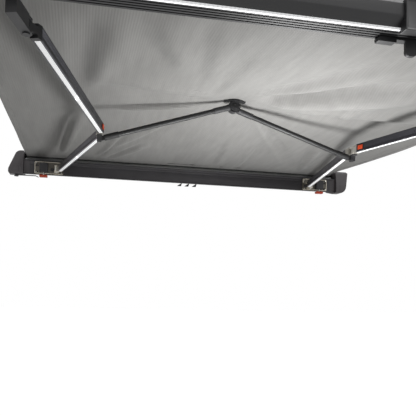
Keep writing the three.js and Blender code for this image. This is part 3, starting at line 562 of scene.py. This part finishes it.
def light_strip(name, start, end, level, half_width):
    material, shader = new_material(name)
    place = add_node(material, "ShaderNodeTexCoord").outputs["Object"]
    along = add_node(
        material, "ShaderNodeMapping", {"vector_type": "TEXTURE"}, Vector=place, Location=start,
        Rotation=(0, 0, math.atan2(end[1] - start[1], end[0] - start[0])))
    axes = add_node(material, "ShaderNodeSeparateXYZ", Vector=along.outputs[0])
    phase = add_node(
        material, "ShaderNodeMath", {"operation": "MULTIPLY"}, i0=axes.outputs[0], i1=2 * math.pi / diode_pitch)
    beat = add_node(material, "ShaderNodeMath", {"operation": "SINE"}, i0=phase.outputs[0])
    points = add_node(
        material, "ShaderNodeMapRange",
        i0=beat.outputs[0], i1=-1.0, i2=1.0, i3=level * between_diodes, i4=level)
    across = add_node(material, "ShaderNodeMath", {"operation": "ABSOLUTE"}, i0=axes.outputs[1])
    beam = add_node(
        material, "ShaderNodeMapRange", {"interpolation_type": "SMOOTHSTEP"}, i0=across.outputs[0],
        i1=half_width, i2=half_width * beam_core, i3=edge_glow, i4=1.0)
    strength = add_node(
        material, "ShaderNodeMath", {"operation": "MULTIPLY"}, i0=points.outputs[0], i1=beam.outputs[0])
    wire(
        material, shader, Base_Color=colour("#f2f3f2"), Roughness=0.35, Emission_Color=colour("#fbfcff"),
        Emission_Strength=strength.outputs[0])
    return material


for side, sign in sides.items():
    for part in ("upper_arm", "forearm"):
        low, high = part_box(part + "_light_" + side)
        inward = (sign > 0) == (part == "forearm")
        near_x, far_x = (low[0], high[0]) if inward else (high[0], low[0])
        strip_finish = light_strip(
            "arm_light_" + part + "_" + side, (near_x, low[1], 0), (far_x, high[1], 0), arm_glow, arm_strip_half)
        dress(strip_finish, part + "_light_" + side)

# Arm ends: die-cast plugs pushed into the extrusions and pinned, forks at the elbows and barrels between them.
# The wrist ends are powder-coated black, a dry satin, and an orange nylon clip marks each forearm at its elbow.
clip_round = 0.0005
wrist_finish = powder_coat("black_coated_castings", "#1c1c1e", 0.48)
for side in sides:
    rounded("upper_shoulder_end_" + side, "upper_" + side, casting_finish, cast_round)
    rounded("upper_elbow_fork_" + side, "upper_" + side, casting_finish, cast_round)
    rounded("forearm_elbow_end_" + side, "fore_" + side, casting_finish, cast_round)
    rounded("forearm_wrist_end_" + side, "fore_" + side, wrist_finish, cast_round)
    rounded("forearm_clip_" + side, "fore_" + side, tab_finish, clip_round)
    rounded("wrist_bracket_" + side, "front", wrist_finish, cast_round)
    dress(wrist_finish, "wrist_pin_" + side)

# Brace: two drawn aluminium tubes, powder-coated black, in sockets of black glass-filled nylon, which is matt.
# Each swivels on a yoke under its elbow, and the two hub halves click together at the middle.
tube_round = 0.0006
yoke_round = 0.0008
hub_round = 0.0012
tube_finish = powder_coat("black_coated_tubes", "#121213", 0.5)
socket_finish = moulded_plastic("glass_filled_nylon", "#262628", 0.5)
for side in sides:
    rounded("brace_yoke_" + side, "yoke_" + side, socket_finish, yoke_round)
    rounded("brace_tube_" + side, "brace_" + side, tube_finish, tube_round)
    rounded("brace_hub_" + side, "brace_" + side, socket_finish, hub_round, segments=3)

# Hub pad: a saddle of black rubber on the hub's top, whose ends bend down and narrow, so that the fabric rides
# over it. It lies just under the fabric.
pad_droop = 0.014
pad_reach = 0.046
pad_narrowing = 0.35
pad_below_top = 0.0012
pad_edge = 0.0018


def thicken(piece, thickness, offset):
    shell = piece.modifiers.new("thickness", "SOLIDIFY")
    shell.thickness = thickness
    shell.offset = offset


low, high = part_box("hub_pad")
bm = bmesh.new()
bmesh.ops.create_grid(bm, x_segments=24, y_segments=6, size=1)
for vert in bm.verts:
    x = (low[0] + high[0]) / 2 + vert.co.x * (high[0] - low[0]) / 2
    narrowed = 1 - pad_narrowing * abs(vert.co.x) ** 3
    y = (low[1] + high[1]) / 2 + vert.co.y * narrowed * (high[1] - low[1]) / 2
    vert.co = Vector((x, y, high[2] - pad_below_top - pad_droop * (1 - math.exp(-(x / pad_reach) ** 2))))
saddle = piece_from(bm, "hub_saddle", "brace_left", rubber_finish, smooth=60)
thicken(saddle, high[2] - low[2], -1)
round_edges(saddle, pad_edge, 3, angle=50, harden=False)
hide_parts("hub_pad")

# Hub rings and button: raised rings are moulded in the hub's round face and on the button in its middle.
# A full turn of a bent line makes each.
button_round = 0.0009
button_ring = 0.0064
hub_rings = (0.0145, 0.0185, 0.0225)
ring_foot = 0.0012
ring_shoulder = 0.0008
# How deep a ring's foot is sunk, and how far its shoulders and its crest stand out.
button_ring_form = (0.0002, 0.0006, 0.0009)
hub_ring_form = (0.0003, 0.0012, 0.0016)
button_low, button_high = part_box("hub_button")
hub_centre = Vector((0, 0, (button_low[2] + button_high[2]) / 2))
hub_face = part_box("brace_hub_left")[0][1]


def raised_ring(name, radius, face, form, body, material):
    sunk, shoulder_rise, rise = form
    line = (
        (radius - ring_foot, face + sunk), (radius - ring_shoulder, face - shoulder_rise), (radius, face - rise),
        (radius + ring_shoulder, face - shoulder_rise), (radius + ring_foot, face + sunk))
    bm = bmesh.new()
    points = [bm.verts.new(hub_centre + Vector((out, depth, 0))) for out, depth in line]
    edges = [bm.edges.new(pair) for pair in zip(points, points[1:])]
    bmesh.ops.spin(
        bm, geom=points + edges, cent=hub_centre, axis=(0, 1, 0), dvec=(0, 0, 0), angle=2 * math.pi, steps=48,
        use_merge=True)
    bmesh.ops.remove_doubles(bm, verts=bm.verts, dist=2 * merge_distance)
    bmesh.ops.recalc_face_normals(bm, faces=bm.faces)
    piece_from(bm, name, body, material)


rounded("hub_button", "button", strap_finish, button_round)
raised_ring("hub_button_ring", button_ring, button_low[1], button_ring_form, "button", strap_finish)
for index, radius in enumerate(hub_rings):
    raised_ring("hub_ring_%d" % (index + 1), radius, hub_face, hub_ring_form, "brace_left", socket_finish)

# Lead rail: an aluminium extrusion with a dark powder coat of coarser grain and a ribbed underside, closed by
# moulded caps. A light strip lies in the notch of its lower outer edge, and a catch hangs under its middle.
rail_grain = 0.0018
rail_round = 0.0005
rail_cap_round = 0.0015
rail_glow = 1.5
rail_strip_half = 0.003
rail_finish = powder_coat("grained_rail_coat", "#19191b", 0.42, grain=rail_grain)
rounded("lead_rail", "front", rail_finish, rail_round)
for side in sides:
    rounded("rail_cap_" + side, "front", cap_finish, rail_cap_round, segments=3)
low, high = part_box("lead_rail_light")
strip_start, strip_end = [(x, (low[1] + high[1]) / 2, 0) for x in (low[0], high[0])]
dress(light_strip("rail_light", strip_start, strip_end, rail_glow, rail_strip_half), "lead_rail_light")

# Rail cover: a black nylon shell clipped over the rail's outer face beside its middle, which hides the light
# strip's feed. It has a raised frame round two shallow panels. The catch under the rail is of the same nylon.
cover_low = Vector((0.098, -1.7465, 0.0125))
cover_high = Vector((0.305, -1.7225, 0.0885))
cover_rim = 0.009
cover_dish = 0.003
cover_edge = 0.0022
catch_round = 0.001
bm = bmesh.new()
add_block(bm, (cover_low + cover_high) / 2, cover_high - cover_low)
along_rail = [edge for edge in bm.edges if abs(edge.verts[0].co.x - edge.verts[1].co.x) > merge_distance]
bmesh.ops.subdivide_edges(bm, edges=along_rail, cuts=1, use_grid_fill=True)
sink_front(bm, cover_rim, cover_dish)
cover = piece_from(bm, "rail_cover", "front", strap_finish)
round_edges(cover, cover_edge, 3)
rounded("rail_catch", "front", strap_finish, catch_round)

# Fabric: ribbed polyester canvas with a matt grey coating on the underside, fixed to the roller and the rail.
# The roller keeps it tight, the hub pad lifts it like a tent, and it creases between the pad, corners and rail.
fabric_half = 0.958
fabric_start = Vector((0, -0.050, 0.084))
fabric_end = Vector((0, -1.68785, 0.0962))
fabric_span = fabric_start.y - fabric_end.y
pad_y = -0.870923
pad_share = (fabric_start.y - pad_y) / fabric_span
peak_height = 0.1801
plateau = 0.062
across_power = 2.4
fall_power = 1.2
slack_depth = 0.012
cloth_thickness = 0.0012
columns = 230
rows = 170
crease_gain = 1.5
crease_overrun = 0.25
crease_start_width = 0.45
crease_fade = 0.42
cord_pitch = 0.008
streak_width = 1 / 38
weave_pitch = 1 / 420
canvas_cloud = 1 / 2.2


# The tent's height over a point, where share runs from 0 at the roller to 1 at the rail: a cone with a small flat
# top over the pad and a droop beside it, between the two straight edges, and some slack at the sides.
def tent_height(x, share):
    across = abs(x) / fabric_half
    reach = (pad_share - share) / pad_share if share < pad_share else (share - pad_share) / (1 - pad_share)
    distance = min(1, (across ** across_power + reach ** across_power) ** (1 / across_power))
    fall = max(0, distance - plateau) / (1 - plateau)
    base = fabric_start.z + (fabric_end.z - fabric_start.z) * share
    tent = (peak_height - base) * (1 - fall) ** fall_power
    from_pad = (x / pad_reach) ** 2 + ((fabric_start.y - fabric_span * share - pad_y) / pad_reach) ** 2
    near_ends = min(1, 6 * share) * min(1, 6 * (1 - share))
    droop = pad_droop * (1 - math.exp(-from_pad)) * near_ends * (1 - across ** 2)
    return base + tent - droop - slack_depth * (4 * share * (1 - share)) ** 2 * across ** 3


# A crease is narrow at its start and full at its end, fades at both, and leans, so that it is high on one side
# of its line and low on the other.
def crease(x, y, start, end, width, height, lean):
    along = Vector((end[0] - start[0], end[1] - start[1]))
    place = Vector((x - start[0], y - start[1]))
    t = place.dot(along) / along.length_squared
    if t < -crease_overrun or t > 1 + crease_overrun:
        return 0
    off = (place.x * along.y - place.y * along.x) / along.length
    u = off / (width * (crease_start_width + (1 - crease_start_width) * min(1, max(0, t))))
    fade = math.exp(-((t - 0.5) / crease_fade) ** 4)
    return height * fade * math.exp(-u * u) * (1 - lean + lean * 2.0 * u)


# Each crease's start and end in X and Y, its half width, its height, negative for a valley, and its lean.
creases = [
    ((0.04, -0.94), (0.42, -1.50), 0.060, 0.012, 0.9),
    ((0.06, -0.90), (0.62, -1.30), 0.075, 0.030, 0.9),
    ((0.05, -0.86), (0.90, -1.02), 0.060, -0.010, 0.9),
    ((-0.04, -0.86), (-0.52, -0.84), 0.020, -0.012, 0.8),
    ((-0.05, -0.90), (-0.62, -1.10), 0.060, 0.010, 0.8),
    ((-0.64, -1.03), (-0.58, -1.56), 0.085, 0.016, 0.8),
    ((-0.34, -1.24), (-0.50, -1.56), 0.090, 0.012, 0.8),
    ((-0.20, -1.10), (-0.30, -1.60), 0.070, 0.008, 0.7),
    ((-0.76, -0.16), (-0.66, -0.80), 0.032, 0.014, 0.9),
    ((-0.56, -0.12), (-0.42, -0.58), 0.026, -0.012, 0.9),
    ((-0.50, -0.10), (-0.30, -0.42), 0.022, 0.009, 0.9),
    ((0.44, -0.90), (0.50, -1.14), 0.030, 0.007, 0.9),
    ((0.70, -0.12), (0.56, -0.62), 0.034, 0.013, 0.9),
    ((0.86, -0.10), (0.72, -0.50), 0.030, -0.011, 0.9),
    ((0.16, -0.10), (0.12, -0.50), 0.030, 0.006, 0.8),
    ((0.32, -0.10), (0.28, -0.48), 0.022, -0.006, 0.8),
    ((-0.10, -0.95), (-0.12, -1.45), 0.060, 0.006, 0.6),
    ((-0.12, -0.80), (-0.52, -0.25), 0.040, 0.008, 0.8),
    ((0.12, -0.80), (0.60, -0.22), 0.040, 0.008, 0.8),
]


# Shares of the span over which the gathers fade, the ends lift and the ends are held flat, at the roller and at
# the rail, and the half sizes in metres of the smooth patch over the pad.
gather_fades = (0.10, 0.05)
lift_fades = (0.20, 0.27)
end_lift = 0.009
held_ends = (0.030, 0.018)
smooth_patch = (0.09, 0.06)
patch_fade = 1.5


# Creases, gathers near the roller and the rail, and soft waves between. All die out at the pad and at both ends,
# and the fabric is lifted a little beside the ends, where it would else touch the roller and rail when folded.
# A ripple has its crowding along X and along Y, its seed and its depth.
def wrinkles(x, y, share):
    near_mouth = math.exp(-share / gather_fades[0])
    near_rail = math.exp(-(1 - share) / gather_fades[1])
    ripples = (
        (17.0, 1.4, 3.1, 0.011 * near_mouth), (42.0, 2.2, 8.7, 0.004 * near_mouth),
        (24.0, 2.0, 5.3, 0.005 * near_rail), (3.1, 2.3, 1.7, 0.008), (8.0, 5.0, 6.1, 0.0022))
    height = crease_gain * sum(crease(x, y, *entry) for entry in creases)
    height += sum(
        noise.noise(Vector((x * crowd_x, y * crowd_y, seed))) * depth for crowd_x, crowd_y, seed, depth in ripples)
    height += end_lift * (max(0, 1 - share / lift_fades[0]) + max(0, 1 - (1 - share) / lift_fades[1]))
    free = min(1, share / held_ends[0]) * min(1, (1 - share) / held_ends[1])
    from_pad = math.hypot(x / smooth_patch[0], (y - pad_y) / smooth_patch[1])
    return height * free * min(1, max(0, from_pad - 1) / patch_fade)


def fabric_point(x, share, above):
    y = fabric_start.y - fabric_span * share
    return Vector((x, y, tent_height(x, share) + wrinkles(x, y, share) + above))


# The real cords are under 2 mm apart and the weave is finer still, so the cords are drawn 8 mm apart and the weave
# 2.4 mm, to show at all.
def coated_canvas(name):
    material, shader = new_material(name)
    place = add_node(material, "ShaderNodeTexCoord").outputs["Object"]
    axes = add_node(material, "ShaderNodeSeparateXYZ", Vector=place)
    phase = add_node(
        material, "ShaderNodeMath", {"operation": "MULTIPLY"}, i0=axes.outputs[0], i1=2 * math.pi / cord_pitch)
    cords = add_node(material, "ShaderNodeMath", {"operation": "SINE"}, i0=phase.outputs[0])
    stretch = add_node(material, "ShaderNodeMapping", Vector=place, Scale=(1, 0.15, 1))
    streaks = add_node(
        material, "ShaderNodeTexNoise",
        Vector=stretch.outputs[0], Scale=1 / streak_width, Detail=4.0, Roughness=0.6)
    weave = add_node(
        material, "ShaderNodeTexNoise", Vector=place, Scale=1 / weave_pitch, Detail=2.0, Roughness=0.6)
    cloud = add_node(
        material, "ShaderNodeTexNoise", Vector=place, Scale=1 / canvas_cloud, Detail=3.0, Roughness=0.5)
    tint = add_node(
        material, "ShaderNodeMix", {"data_type": "RGBA"},
        i0=cloud.outputs[0], i6=colour("#8d8c89"), i7=colour("#a09f9d"))
    streaked = add_node(
        material, "ShaderNodeMix", {"data_type": "RGBA", "blend_type": "MULTIPLY"},
        i0=0.35, i6=tint.outputs[2], i7=streaks.outputs[0])
    # Painted shade: the colour is darkened to 93 % in the grooves between the cords, where the bump is lowest.
    cord_shade = add_node(
        material, "ShaderNodeMapRange", i0=cords.outputs[0], i1=-1.0, i2=1.0, i3=0.93, i4=1.0)
    corded = add_node(
        material, "ShaderNodeMix", {"data_type": "RGBA", "blend_type": "MULTIPLY"},
        i0=1.0, i6=streaked.outputs[2], i7=cord_shade.outputs[0])
    height = add_node(
        material, "ShaderNodeMath", {"operation": "MULTIPLY_ADD"},
        i0=weave.outputs[0], i1=0.5, i2=cords.outputs[0])
    bump = add_node(material, "ShaderNodeBump", Strength=0.35, Distance=0.0004, Height=height.outputs[0])
    wire(
        material, shader, Base_Color=corded.outputs[2], Roughness=0.78, Sheen_Weight=0.15,
        Normal=bump.outputs[0])
    return material


bm = bmesh.new()
bmesh.ops.create_grid(bm, x_segments=columns, y_segments=rows, size=1)
for vert in bm.verts:
    vert.co = fabric_point(vert.co.x * fabric_half, (1 - vert.co.y) / 2, cloth_thickness)
canvas = coated_canvas("grey_coated_canvas")
fabric_piece = piece_from(bm, "fabric", "housing", canvas, smooth=80)
thicken(fabric_piece, cloth_thickness, -1)
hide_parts("canopy")

# Hems: the canvas is folded back under itself for 24 mm at each side, so a hem has the fabric's cords and coating
# and follows its edge.
hem_width = 0.024
hem_inset = 0.0006
hem_below = -0.0006
hem_thickness = 0.0009
hem_finish = coated_canvas("folded_canvas_hem")
hem_pieces = []
for side, sign in sides.items():
    bm = bmesh.new()
    bmesh.ops.create_grid(bm, x_segments=4, y_segments=rows, size=1)
    for vert in bm.verts:
        x = sign * (fabric_half - hem_inset - (hem_width - hem_inset) * (1 - vert.co.x) / 2)
        vert.co = fabric_point(x, (1 - vert.co.y) / 2, hem_below)
    bmesh.ops.recalc_face_normals(bm, faces=bm.faces)
    hem = piece_from(bm, "hem_" + side, "housing", hem_finish, smooth=80)
    thicken(hem, hem_thickness, 0)
    hem_pieces.append(hem)
for cloth_piece in [fabric_piece] + hem_pieces:
    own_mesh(cloth_piece)
